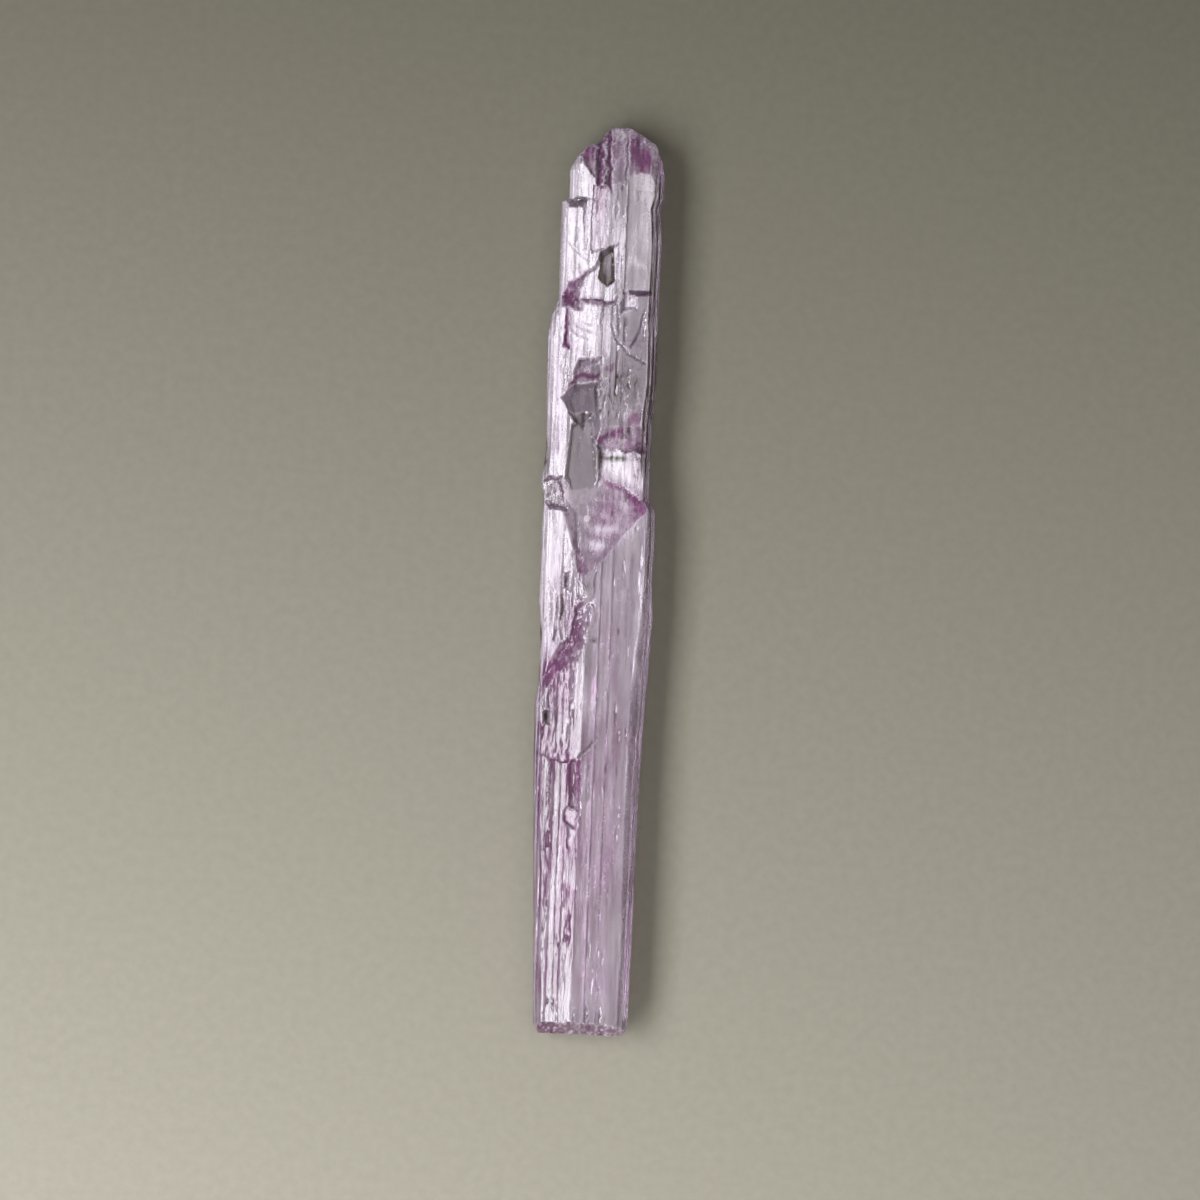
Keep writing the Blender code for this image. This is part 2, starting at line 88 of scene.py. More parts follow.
# Hollows of the front, each with its finish and depth of violet: the space above all of its planes,
# where a plane is (x, y, z, rise along x, rise along y)
FRONT_HOLLOWS = {
    "tip_middle_facet": (
        "lined", 0.65,
        (-1.0, 63.4, 9.5, 0.05, -0.62), (-4.3, 67.0, 7.0, -1.85, -1.7),
    ),
    "tip_right_facet": (
        "lined", 0.2,
        (5.0, 66.5, 8.8, -0.12, -0.95),
    ),
    "tip_right_corner": (
        "etched", 0.25,
        (6.9, 64.0, 8.6, -1.2, -0.55),
    ),
    "tip_left_corner": (
        "etched", 0.5,
        (-5.6, 67.2, 7.5, 0.9, -0.9),
    ),
    "tip_furrow_left": (
        "etched", 0.7,
        (-2.3, 66.5, 6.5, 1.3, -0.62), (-2.3, 66.5, 6.5, -1.9, -0.62),
    ),
    "tip_furrow_middle": (
        "etched", 0.8,
        (-0.4, 66.5, 6.8, 1.9, -0.5), (-0.4, 66.5, 6.8, -1.2, -0.6),
    ),
    "tip_furrow_right": (
        "etched", 0.2,
        (2.3, 68.0, 6.2, 2.2, -0.66), (2.3, 68.0, 6.2, -2.2, -0.66),
    ),
    "block_undercut": (
        "smooth", 0.0,
        (-6.0, 61.0, 6.7, 0.0, 8.0), (-6.0, 60.9, 6.7, 0.2, -0.95), (-4.1, 60.5, 6.7, 7.0, 0.0),
    ),
    "block_slot": (
        "etched", 0.1,
        (-4.15, 60.0, 7.5, 3.5, 0.0), (-4.15, 60.0, 7.5, -3.5, 0.0), (-4.15, 57.0, 8.2, 0.0, -0.5),
        (-4.15, 61.0, 7.5, 0.0, 3.0),
    ),
    "right_panel_step": (
        "polished", 0.0,
        (5.0, 62.5, 8.35, 0.0, 6.0), (5.0, 62.4, 8.35, -0.05, -0.12), (4.25, 60.0, 8.35, -5.0, 0.0),
    ),
    "diagonal_ledge": (
        "lined", 0.1,
        (-3.5, 48.4, 7.3, -1.5, 1.61), (-3.0, 47.0, 7.35, 0.25, 0.03), (-3.0, 44.9, 7.35, 0.1, -2.0),
        (1.0, 48.0, 8.0, 1.6, 0.0),
    ),
    "ledge_root": (
        "torn", 0.36,
        (-6.0, 46.0, 6.1, -0.9, 1.4), (-6.0, 45.4, 5.9, 0.0, -1.1), (-4.8, 45.0, 6.5, 1.5, -0.3),
    ),
    "striped_panel": (
        "lined", 0.4,
        (-1.8, 58.0, 8.85, 0.3, 0.0), (-2.95, 58.0, 8.6, -3.0, 0.0), (-0.75, 58.0, 9.1, 3.0, 0.0),
        (-1.8, 63.0, 8.9, 0.3, 1.5), (-1.8, 52.8, 8.9, 0.9, -1.5),
    ),
    "right_panel": (
        "polished", 0.0,
        (4.7, 55.0, 8.62, -0.05, 0.0), (2.7, 55.0, 8.6, -4.0, 0.0), (4.7, 46.4, 8.6, 0.0, -3.0),
    ),
    "lens_patch": (
        "sunken", 0.0,
        (0.0, 50.0, 7.75, 0.12, 0.0), (-1.3, 50.0, 7.6, -2.5, 0.5), (0.9, 50.0, 8.1, 3.5, 0.3),
        (-0.2, 52.4, 7.9, -0.9, 1.6), (-0.7, 47.8, 7.6, -1.0, -1.2), (0.4, 47.8, 7.7, 1.1, -1.2),
    ),
    "right_ledge": (
        "smooth", 0.35,
        (5.0, 46.5, 7.9, 0.0, 5.0), (5.0, 46.4, 7.9, 0.0, -1.3), (3.6, 46.0, 7.9, -4.0, 0.0),
    ),
    "right_spall": (
        "etched", 0.0,
        (3.3, 45.0, 8.0, 0.5, 0.1), (3.3, 45.8, 8.0, 0.6, 2.5), (3.3, 43.7, 8.0, 0.4, -2.2),
        (2.55, 45.0, 7.7, -4.0, 0.0),
    ),
    "side_slot": (
        "etched", 0.7,
        (-6.4, 40.0, 7.1, 1.5, 0.1), (-6.4, 40.0, 7.1, -2.4, 0.1), (-6.4, 37.5, 7.5, 0.0, -1.0),
    ),
    "cave": (
        "torn", 0.2,
        (-2.5, 33.4, 7.5, 0.05, -0.25), (-2.5, 35.2, 7.6, 0.0, 3.5), (-4.3, 34.0, 7.6, -2.4, 0.9),
        (-0.9, 33.0, 7.7, 3.0, 0.0),
    ),
    "arrow_facet": (
        "smooth", 0.0,
        (-3.5, 28.4, 7.1, 0.16, -0.33), (-5.3, 30.8, 8.0, -0.95, 0.95), (-2.5, 32.3, 8.9, -0.1, 1.35),
        (-1.0, 29.0, 7.8, 3.0, 0.0), (-5.6, 27.3, 7.95, -0.75, -0.6),
    ),
    "window": (
        "smooth", 0.0,
        (-2.5, 19.5, 6.85, -0.16, 0.04), (-5.4, 19.0, 7.95, -1.7, 0.14), (-0.6, 19.0, 7.2, 1.5, 0.25),
        (-0.6, 16.0, 6.6, 1.5, -0.3), (-3.4, 25.4, 7.7, -0.6, 1.1), (-4.9, 25.0, 7.8, -1.4, 0.7),
        (-3.5, 15.5, 6.9, -0.15, -0.1), (-3.4, 8.0, 7.9, -0.15, -0.4), (-4.9, 14.5, 7.8, -1.2, -0.4),
    ),
    "sunken_triangle": (
        "sunken", 0.0,
        (-3.0, 24.0, 6.9, -0.05, 0.24), (-3.85, 25.3, 7.1, -1.3, -0.85), (-2.55, 25.2, 7.1, 1.4, -0.53),
        (-3.4, 26.6, 7.4, 0.0, 2.5),
    ),
    "right_hollow": (
        "lined", 0.0,
        (3.0, 17.0, 6.6, 0.28, 0.0), (2.0, 21.2, 6.6, -0.15, 0.75), (-0.1, 19.0, 6.0, -3.0, 0.0),
        (0.1, 16.9, 6.1, 0.168, -0.205), (5.5, 9.0, 9.0, 0.4, -0.42), (6.2, 20.0, 8.0, 1.6, 0.5),
    ),
    "hollow_roof": (
        "etched", 0.25,
        (2.0, 21.2, 6.5, -0.15, 0.75), (2.0, 21.0, 6.6, -0.3, -5.0), (-0.1, 22.0, 6.0, -3.0, 0.0),
        (6.9, 24.0, 8.0, 1.2, 0.9),
    ),
    "break_across": (
        "rippled", 0.3,
        (0.1, 16.9, 5.8, 0.165, -0.208), (5.5, 9.0, 8.6, 0.38, -0.415), (-4.5, 6.6, 8.3, -0.7, -0.27),
        (-3.0, 13.5, 6.8, -0.2, 0.12), (-5.0, 14.0, 7.2, -0.25, 0.3), (0.1, 16.9, 5.8, 1.1, 1.5),
    ),
    "left_etch": (
        "pitted", 0.4,
        (-7.5, 14.0, 5.9, 0.35, 0.05), (-7.5, 15.9, 5.9, 0.0, 2.6), (-7.5, 12.0, 5.9, 0.0, -2.0),
        (-6.2, 14.0, 6.3, 2.2, 0.6),
    ),
    "upper_cleft": (
        "torn", 0.1,
        (-2.9, -6.5, 8.1, -0.7, 0.14), (-2.9, -6.5, 8.1, 0.55, -0.11), (-2.6, -4.6, 8.4, 0.0, 0.5),
    ),
    "slanting_cleft": (
        "torn", 0.1,
        (-6.0, -13.4, 6.9, -0.75, 0.45), (-6.0, -13.4, 6.9, 0.65, -0.39), (-3.6, -9.4, 8.2, 0.0, 0.6),
        (-3.4, -11.0, 7.9, 1.4, 0.0),
    ),
    "strip_notch_outer": (
        "etched", 0.1,
        (-8.2, -8.5, 6.4, 1.8, 0.0), (-8.2, -8.5, 6.4, -1.0, 0.0), (-8.2, -6.6, 6.9, 0.0, 0.9),
        (-8.2, -10.4, 6.8, 0.0, -1.6),
    ),
    "strip_notch_inner": (
        "etched", 0.1,
        (-6.1, -8.8, 7.2, 2.0, 0.0), (-6.1, -8.8, 7.2, -2.0, 0.0), (-6.1, -7.6, 7.5, 0.0, 0.8),
        (-6.1, -10.0, 7.5, 0.0, -1.6),
    ),
    "break_slot": (
        "etched", 0.1,
        (-4.7, 0.0, 7.2, 1.6, 0.0), (-4.7, 0.0, 7.2, -2.6, 0.0), (-4.7, 1.0, 7.8, 0.0, 2.0),
        (-4.7, -1.4, 7.8, 0.0, -2.0),
    ),
    "right_edge_bevel": (
        "polished", 0.1,
        (6.4, -18.0, 8.6, -0.75, 0.06), (6.4, -18.0, 8.6, -0.75, 0.0),
    ),
    "small_pit": (
        "smooth", 0.1,
        (-7.0, -22.0, 6.9, 1.3, 0.0), (-7.0, -22.0, 6.9, -1.0, 0.0), (-7.0, -21.4, 7.0, 0.0, 1.5),
        (-7.0, -22.8, 7.0, 0.0, -1.5),
    ),
    "arc_step": (
        "etched", 0.3,
        (-6.0, -28.9, 7.6, 0.25, 0.07), (-7.4, -28.2, 7.2, -0.7, -2.4), (-4.8, -29.2, 7.7, 0.8, -2.4),
        (-3.4, -27.0, 8.2, 2.0, 0.0),
    ),
    "slanting_groove": (
        "smooth", 0.1,
        (0.0, -26.6, 9.0, 1.4, -1.25), (0.0, -26.6, 9.0, -1.4, 1.25), (1.4, -24.4, 9.2, 0.9, 0.9),
        (-1.8, -28.2, 8.9, -0.9, -0.9),
    ),
    "long_groove": (
        "etched", 0.3,
        (-2.0, -33.0, 8.35, 0.1, 0.0), (-1.35, -33.0, 8.5, 3.0, 0.0), (-2.75, -33.0, 8.4, -2.0, 0.0),
        (-2.0, -29.4, 8.5, 0.4, 1.2), (-2.0, -36.6, 8.5, -0.5, -1.2),
    ),
    "lower_spall": (
        "rippled", 0.0,
        (-2.6, -37.8, 8.2, 0.4, 0.1), (-2.3, -36.9, 8.3, 0.9, 2.0), (-2.8, -38.9, 8.2, -0.8, -1.6),
        (-3.6, -38.0, 8.1, -2.2, 0.6), (-1.5, -38.0, 8.6, 2.4, -0.5),
    ),
    "lower_groove": (
        "etched", 0.0,
        (-2.7, -41.0, 8.3, 2.5, 0.0), (-2.7, -41.0, 8.3, -2.5, 0.0), (-2.7, -42.8, 8.4, 0.0, -1.0),
        (-2.7, -39.4, 8.4, 0.0, 1.5),
    ),
    "end_front_facet": (
        "rippled", 0.2,
        (0.0, -72.0, 6.6, 0.08, 2.2),
    ),
}

# Hollows of the back, each the space below all of its planes
BACK_HOLLOWS = {
    "tip_back_facet": ((0.0, 66.2, 0.0, 0.03, 0.36),),
    "tip_back_corner": ((5.6, 65.6, 0.0, 0.4, 0.3),),
    "end_back_facet": ((0.0, -71.4, 0.0, 0.05, -0.9),),
    "back_chip": ((4.5, 33.0, 0.9, 0.3, -0.1), (4.5, 38.0, 0.6, 0.0, -0.9), (4.5, 27.0, 0.9, 0.1, 0.4)),
    "back_ledge": (
        (-3.4, -22.0, 0.8, -0.45, 0.02), (-3.4, -14.0, 0.7, 0.2, -1.2), (-3.4, -34.0, 0.7, 0.0, 0.14),
    ),
    "back_scar": (
        (3.2, -44.0, 0.7, 0.25, -0.08), (3.2, -38.0, 0.6, 0.0, -0.9), (3.2, -50.0, 0.9, 0.0, 0.3),
    ),
    "back_nick": (
        (-5.2, 8.0, 0.8, -0.4, 0.1), (-5.2, 12.0, 0.6, 0.0, -0.8), (-5.2, 4.5, 0.6, 0.0, 0.6),
    ),
}

# Violet zones of the front as (x, y, half width, half length, depth of colour). A negative depth takes
# colour away.
VIOLET_ZONES = (
    (-3.6, 69.6, 1.6, 2.6, 0.35), (-0.9, 68.0, 1.2, 4.6, 0.35), (4.4, 68.6, 1.3, 2.6, 0.34),
    (3.4, 70.9, 0.9, 1.0, 0.4), (6.2, 67.2, 0.8, 1.2, 0.35), (8.0, 67.0, 0.8, 4.5, 0.8),
    (1.2, 71.9, 1.2, 0.8, -0.6), (-2.0, -24.0, 1.2, 11.0, 0.6), (-1.5, 63.4, 1.6, 1.8, 0.45),
    (-1.9, 58.5, 0.6, 5.0, 0.45), (-1.8, 53.6, 0.6, 1.6, 0.4), (-5.8, 45.6, 1.5, 1.3, 0.4),
    (2.6, 37.0, 2.0, 4.0, 0.2), (3.5, 22.5, 3.0, 1.2, 0.25), (5.0, 26.0, 1.4, 1.1, 1.4),
    (2.0, 23.8, 1.8, 0.6, 0.4), (6.8, 17.0, 1.5, 5.0, 0.4), (7.4, 12.3, 2.0, 1.5, 0.7),
    (2.4, 8.0, 3.2, 6.0, 0.25), (1.8, 8.3, 2.2, 0.6, -0.6), (0.7, 5.7, 1.7, 0.6, -0.6),
    (-3.3, -8.0, 1.2, 4.6, 0.4), (-6.0, -14.5, 2.6, 3.4, 0.4), (-5.5, -25.0, 2.8, 9.0, 0.85),
    (-5.0, -48.0, 4.5, 32.0, 1.2), (3.5, -35.0, 5.0, 50.0, 0.6), (-6.2, 32.0, 3.0, 14.0, 0.34),
    (-4.6, -4.0, 3.0, 9.0, 0.3),
)

# Violet seams along breaks and clefts: the path of each, half its width and its depth of colour
VIOLET_SEAMS = (
    (((-6.3, 30.6), (-4.6, 32.3), (-3.2, 32.9), (-1.2, 32.5)), 0.55, 1.4),
    (((-0.9, 32.9), (0.4, 33.8), (1.4, 34.6)), 0.55, 1.4),
    (((-5.6, 44.5), (-2.5, 44.9), (-0.3, 44.5), (1.0, 44.8)), 0.8, 1.0),
    (((3.2, 45.0), (4.8, 46.0), (6.4, 46.2)), 0.55, 0.9),
    (((-7.4, 44.2), (-6.0, 46.6), (-3.8, 48.8), (-1.2, 52.0)), 0.6, 0.6),
    (((-0.7, 22.6), (1.2, 23.2), (3.1, 23.9), (4.2, 25.4), (6.5, 27.0)), 0.9, 1.5),
    (((0.1, 16.9), (2.6, 15.4), (5.8, 13.4), (8.6, 12.6)), 0.9, 0.9),
    (((-6.6, 15.6), (-5.4, 11.0), (-3.4, 5.6), (-2.2, 1.0)), 0.7, 0.5),
    (((-2.4, -4.3), (-3.7, -10.0), (-6.1, -13.2), (-8.6, -18.2)), 1.8, 0.3),
    (((-6.2, -23.5), (-5.8, -26.5), (-4.6, -29.0)), 1.2, 0.6),
    (((-8.5, -28.0), (-6.3, -28.9), (-4.4, -29.6), (-3.4, -29.3)), 0.5, 0.6),
)

# Frosted zones of the front, in the same form
FROST_ZONES = (
    (-5.4, 64.5, 1.9, 4.5, 1.2), (-3.3, 61.5, 0.5, 3.0, 0.8), (-5.5, 52.0, 3.0, 9.0, 1.0),
    (-0.6, 58.0, 3.0, 6.0, 0.5), (1.2, 51.0, 1.6, 5.0, 0.4), (-3.2, 47.6, 1.2, 2.6, 0.9),
    (-4.0, 39.5, 3.2, 5.0, 0.8), (0.2, 39.5, 1.8, 4.0, 0.5), (-7.4, 28.0, 2.2, 17.0, 0.8),
    (2.8, 17.8, 2.9, 3.4, 1.2), (-7.4, 1.0, 2.4, 12.0, 1.0), (-4.6, 6.0, 1.0, 5.0, 0.9),
    (1.8, 8.3, 2.0, 0.8, 1.6), (0.7, 5.7, 1.7, 0.8, 1.6), (3.4, 10.5, 3.0, 3.6, 0.9),
    (5.6, 69.0, 1.4, 3.0, 0.7), (1.9, 69.0, 1.0, 3.0, 0.9), (-2.6, 33.8, 0.5, 0.45, 1.6),
    (-5.5, -12.0, 3.0, 9.0, 0.4), (-2.6, -39.5, 0.9, 3.5, 0.8), (-5.0, -45.0, 4.5, 30.0, 0.25),
    (3.0, -30.0, 5.5, 45.0, 0.4), (7.5, -6.5, 0.3, 6.0, 1.0), (6.9, -14.5, 0.35, 4.0, 0.9),
    (6.6, -28.0, 0.3, 5.0, 0.8), (3.2, 44.8, 0.9, 1.3, 1.4), (1.2, 71.9, 1.3, 0.8, 1.6),
    (3.2, 22.3, 3.0, 0.7, 0.8), (-1.8, 9.9, 0.4, 0.35, 2.0), (5.0, 26.0, 1.5, 1.1, 0.8),
    (5.6, 63.0, 1.6, 3.5, 0.5), (4.6, 54.0, 2.4, 8.0, 0.3),
)

# Zones of dark and white flecks, in the same form
FLECK_ZONES = (
    (3.2, 30.0, 3.2, 4.4, 1.7), (6.4, 19.0, 1.2, 5.0, 0.8), (-8.2, 13.5, 1.2, 3.0, 1.0),
    (1.2, 71.8, 1.8, 1.0, 0.9), (-3.8, 65.0, 0.8, 1.5, 0.9), (-1.5, 63.2, 1.8, 2.0, 0.8),
    (1.4, 40.5, 1.6, 2.6, 0.6), (-5.2, -6.0, 2.4, 5.0, 0.5), (-2.0, -2.0, 1.6, 3.0, 0.5),
    (-5.4, -22.0, 2.4, 5.0, 0.4), (-2.0, -33.0, 0.8, 4.0, 0.7), (6.6, -28.0, 0.4, 5.0, 0.6),
    (3.0, 23.0, 3.2, 1.3, 0.9), (5.8, 18.0, 0.6, 3.5, 0.9),
)

# Zones of the front whose growth lines are faint or strong, in the same form
CALM_ZONES = (
    (5.0, 50.0, 2.4, 20.0, 1.4), (-7.0, 30.0, 2.2, 12.0, 0.9), (3.0, -40.0, 5.0, 36.0, 1.0),
    (2.6, -8.0, 2.4, 14.0, 1.0), (-4.5, -30.0, 5.0, 16.0, 0.9), (-5.0, -56.0, 5.0, 20.0, 0.9),
    (-5.8, 53.0, 2.2, 8.0, 0.9),
)
STRONG_ZONES = (
    (-0.8, 58.0, 2.4, 7.0, 1.2), (-7.6, 0.0, 1.8, 10.0, 0.8), (-0.8, 32.0, 1.0, 14.0, 0.8),
    (6.9, 2.0, 1.2, 9.0, 1.4), (3.0, 30.0, 2.5, 4.0, 0.5),
)

# Zones of the left face that are terraced
TERRACE_ZONES = ((-5.5, -46.0, 6.0, 30.0, 0.25), (-4.0, -6.0, 2.6, 10.0, 0.5))

# Dark brown spots of the front, in the same form: painted shade in pits, notches, slots, the cave and
# under the hollow's roof, and a faint brown tint over broad patches
SHADE_AND_FILM_ZONES = (
    (-0.8, -13.0, 0.9, 2.4, 0.5), (0.15, -9.6, 0.45, 0.4, 1.6), (-8.6, 19.0, 0.5, 4.0, 0.6),
    (4.4, 30.5, 2.6, 4.6, 0.3), (0.8, 30.0, 1.6, 3.6, 0.3), (-5.2, -5.0, 0.35, 1.2, 0.8),
    (-7.0, -22.0, 0.45, 0.7, 1.2), (8.3, 3.0, 0.25, 7.0, 0.8), (-8.5, -9.0, 0.35, 1.6, 0.9),
    (-6.2, -9.0, 0.3, 1.0, 0.7), (-1.4, -1.0, 0.5, 0.5, 0.8), (2.4, 19.7, 1.6, 0.4, 2.4),
    (-0.2, 19.5, 0.4, 2.4, 0.8), (-1.0, 49.0, 0.6, 2.5, 0.3), (0.4, 46.2, 1.0, 1.0, 0.3),
    (-2.0, -33.0, 0.6, 3.4, 0.35), (-9.0, 13.5, 0.5, 2.0, 0.5), (2.1, 46.0, 0.4, 1.0, 0.4),
    (-3.5, 34.2, 0.7, 0.7, 0.5), (-1.6, 33.9, 0.5, 0.7, 0.5), (-8.9, 21.2, 0.3, 1.0, 1.0),
    (-8.9, 18.8, 0.3, 0.6, 1.0), (3.0, -35.0, 5.0, 45.0, 0.08), (4.9, 40.2, 0.6, 1.8, 0.35),
    (2.2, 41.5, 0.5, 1.5, 0.4), (3.4, 31.0, 2.6, 3.0, 0.25), (5.2, 62.0, 2.2, 5.0, 0.16),
    (-4.6, -0.2, 0.3, 0.9, 1.0), (3.6, 52.0, 1.0, 9.0, 0.14), (-2.8, 20.5, 2.4, 5.0, 0.3),
)

# Zone of the front with close-set curved steps, in the same form
ARC_ZONES = ((-4.0, 39.9, 1.9, 1.5, 1.2),)

# Cracks of the front: the path of each, half its width and its depth. A negative depth is a raised seam.
CRACKS = (
    (((0.8, 41.1), (1.7, 38.6), (3.9, 36.3), (6.6, 35.0)), 0.22, 0.3),
    (((5.9, 42.6), (5.6, 40.4), (4.1, 37.6)), 0.3, 0.35),
    (((-7.2, 54.8), (-5.5, 52.8), (-3.4, 51.2)), 0.2, 0.15),
    (((-0.1, 55.9), (2.6, 57.2)), 0.2, -0.15),
    (((-2.2, 59.9), (-0.8, 62.0)), 0.2, 0.2),
    (((-1.2, 44.0), (-1.3, 26.0)), 0.2, -0.2),
    (((-0.5, 50.0), (-0.6, 26.0)), 0.2, 0.25),
    (((1.9, 42.0), (1.9, 30.0)), 0.2, 0.2),
    (((-2.6, -2.6), (-1.6, -3.6), (-0.2, -4.0)), 0.3, 0.35),
    (((-5.3, -2.4), (-5.0, -4.6), (-5.5, -7.0), (-5.0, -9.5)), 0.25, 0.25),
)

# Zones of the back that are flat and unlined, in the same form: under the window and the arrow facet
PLAIN_BACK_ZONES = ((-2.6, 19.0, 3.4, 9.0, 1.6), (-3.6, 30.0, 3.0, 4.0, 1.4))

# Grooves of the right side, as distances in from the outline
SIDE_GROOVES = (1.5, 0.75, 0.4)

# Painted shade on the right side, which faces away from the light: dark brown lines near its grooves,
# as (distance in from the outline, half width, strength)
SIDE_SHADE_LINES = ((1.4, 0.23, 1.4), (0.7, 0.25, 1.3), (0.15, 0.16, 1.1))

# A plane that rises more than this is the wall of a hollow, and its edge is ragged
STEEP = 0.9

# How ragged the walls of clear and polished hollows are, against 1 for all others, and the violet seams
CLEAN_EDGE = 0.2
TORN_EDGE = 1.7

# The grooved steps of the two steep sides start this far in from the outline
RIM = 0.15

# Mean frost, violet and dark brown of the back, the undersides and the ends
PLAIN_SKIN = (0.4, 0.25, 0.02)

# Short nicks scattered over the front
NICKS = 170

# Overlapping frosted zones add up to this at most, so that streaks still show in them
MOST_FROST = 1.6

# A ridge or groove counts up to this far above or below its neighbours, in millimetres
RIDGE_AND_GROOVE_LIMIT = 0.12

# For each millimetre that a ridge stands up, it gains this much frost and loses this share of its violet
WEAR_FROST = 5.0
WEAR_FADE = 9.0

# A groove deeper than the first, in millimetres, gets this much painted shade for each millimetre
GROOVE_SHADE_START = 0.01
GROOVE_SHADE_STRENGTH = 4.0

# A crack is darkened with this much painted shade for each millimetre of its depth
CRACK_SHADE = 2.0

# Side of the square table of random values behind all noise
LATTICE = 512

# Grid: columns round the prism in four stretches, and rows along it
FRONT_MIDDLE_COLUMNS = 84
FRONT_EDGE_COLUMNS = 18
UNDERSIDE_COLUMNS = 14
BACK_COLUMNS = 30
ROWS = 540
CAP_RINGS = 6

# Faces that meet at more than this angle, in degrees, meet in a sharp edge
SHARP_ANGLE = 9.0

# The steep edges of the front take this much of its width on each side
EDGE_WIDTH = 1.6

# Half the width that the front's columns are spread over, and half of the part where they run straight
NOMINAL_HALF = 9.0
INNER_HALF = 6.0


def noise(u, v, seed, faceted=False):
    """Value noise from -1 to 1: random values at whole u and v, blended smoothly between them.

    With faceted, the blend along u is straight, so strips along v meet in sharp edges.
    """
    table = np.random.default_rng(seed).uniform(-1.0, 1.0, (LATTICE, LATTICE))
    column = np.floor(u).astype(int)
    row = np.floor(v).astype(int)
    across = u - column
    along = v - row
    if not faceted:
        across = across * across * (3.0 - 2.0 * across)
    along = along * along * (3.0 - 2.0 * along)

    def edge(place):
        low = table[place % LATTICE, row % LATTICE]
        high = table[place % LATTICE, (row + 1) % LATTICE]
        return low * (1.0 - along) + high * along

    return edge(column) * (1.0 - across) + edge(column + 1) * across


def along_points(points, place):
    """Value at each place on a line of (place, value) points."""
    places, values = zip(*points)
    return np.interp(place, places, values)


def zones(spots, x, y):
    """Sum of soft oval spots, each falling off as a Gaussian from its middle."""
    total = np.zeros_like(x)
    for middle_x, middle_y, half_width, half_length, strength in spots:
        reach = ((x - middle_x) / half_width) ** 2 + ((y - middle_y) / half_length) ** 2
        total += strength * np.exp(-reach)
    return total


def growth_lines(x, y, calm):
    """Height of the lengthwise growth lines: flat strips that meet in sharp edges, in three widths.

    They wander a little sideways, are deepest in the strong zones and faint where calm is 1.
    """
    x = x + 0.16 * noise(x / 2.4, y / 7.0, 98)
    broad = 0.07 * noise(x / 1.3, y / 34.0, 11, faceted=True)
    middle = 0.05 * noise(x / 0.55, y / 11.0, 12, faceted=True)
    fine = 0.03 * noise(x / 0.3, y / 4.0, 13, faceted=True)
    strength = 1.0 + zones(STRONG_ZONES, x, y) - 0.8 * calm
    return (broad + middle + fine) * strength


def terraces(x, y):
    """Height that turns the sloping left face into level treads with steep risers between them."""
    step = x / 0.95 + 0.9 * noise(x / 2.0, y / 16.0, 15)
    tread = step - np.floor(step)
    rise = np.clip((tread - 0.8) / 0.2, 0.0, 1.0)
    return 0.3 * (rise - tread) * np.clip(zones(TERRACE_ZONES, x, y), 0.0, 1.0)


def etching(x, y):
    """Height of the etched skin: small lengthwise grains of two sizes."""
    return 0.045 * noise(x / 0.34, y / 1.6, 21) + 0.03 * noise(x / 0.22, y / 0.6, 22)


def ripples(x, y):
    """Height of the curved waves of a break, at even distances from one point, with fine hackle."""
    distance = np.hypot(x - 8.0, y - 34.0)
    wave = 0.03 * np.sin(distance * 2.0 * math.pi / 2.6 + 1.6 * noise(x / 2.5, y / 2.5, 31))
    return wave + 0.012 * noise(x / 1.6, y / 0.4, 32) + 0.012 * noise(x / 0.5, y / 0.5, 33)


def hackle(x, y):
    """Height of the torn skin in a cleft: short facets that run down to the left, with etched grain."""
    across, along = x + 0.6 * y, y - 0.6 * x
    facets = 0.16 * noise(across / 0.9, along / 2.6, 45, faceted=True)
    return facets + 0.08 * noise(x / 0.4, y / 0.7, 46, faceted=True) + etching(x, y)


def fine_lines(x, y):
    """Height of the lines that growth leaves on a sheltered face: narrow flat strips, all shallow."""
    broad = 0.12 * noise(x / 0.5, y / 5.0, 42, faceted=True)
    return broad + 0.05 * noise(x / 0.25, y / 3.0, 43, faceted=True)


def gentle_swell(x, y):
    """Height of a clear face: almost flat, with a swell too low to feel."""
    return 0.012 * noise(x / 0.8, y / 1.6, 41)


def polished_lines(x, y):
    """Height of a polished face: long shallow strips, a fifth as deep as those of a sheltered face."""
    return 0.03 * noise(x / 0.6, y / 14.0, 44, faceted=True)


def pits(x, y):
    """Height of a pitted face: the etched skin, twice as deep."""
    return 2.0 * etching(x, y)


# Finish of each kind of hollow: its relief, how frosted it is and how much painted shade darkens it
FINISHES = {
    "smooth": (gentle_swell, 0.12, 0.34),
    "sunken": (gentle_swell, 0.3, 0.85),
    "polished": (polished_lines, 0.6, 0.12),
    "pitted": (pits, 0.4, 0.35),
    "etched": (etching, 0.6, 0.0),
    "rippled": (ripples, 0.65, 0.04),
    "torn": (hackle, 0.5, 0.06),
    "lined": (fine_lines, 0.8, 0.0),
}

# Finishes of clear faces, which no zone frosts or tints
CLEAR_FINISHES = ("smooth", "sunken")

# Finishes of faces that broke or grew clean, with straight edges
CLEAN_FINISHES = CLEAR_FINISHES + ("polished",)

# Finishes of broken faces, where the streaks of growth don't show
BROKEN_FINISHES = ("rippled", "torn")


def groove(x, y, path, half_width, depth):
    """Depth of a V-shaped groove along a path: it falls off evenly to nothing at half its width."""
    nearest = np.full(x.shape, np.inf)
    for (start_x, start_y), (end_x, end_y) in zip(path, path[1:]):
        run_x, run_y = end_x - start_x, end_y - start_y
        share = ((x - start_x) * run_x + (y - start_y) * run_y) / (run_x ** 2 + run_y ** 2)
        share = np.clip(share, 0.0, 1.0)
        nearest = np.minimum(nearest, np.hypot(x - start_x - share * run_x, y - start_y - share * run_y))
    return depth * np.clip(1.0 - nearest / half_width, 0.0, 1.0)


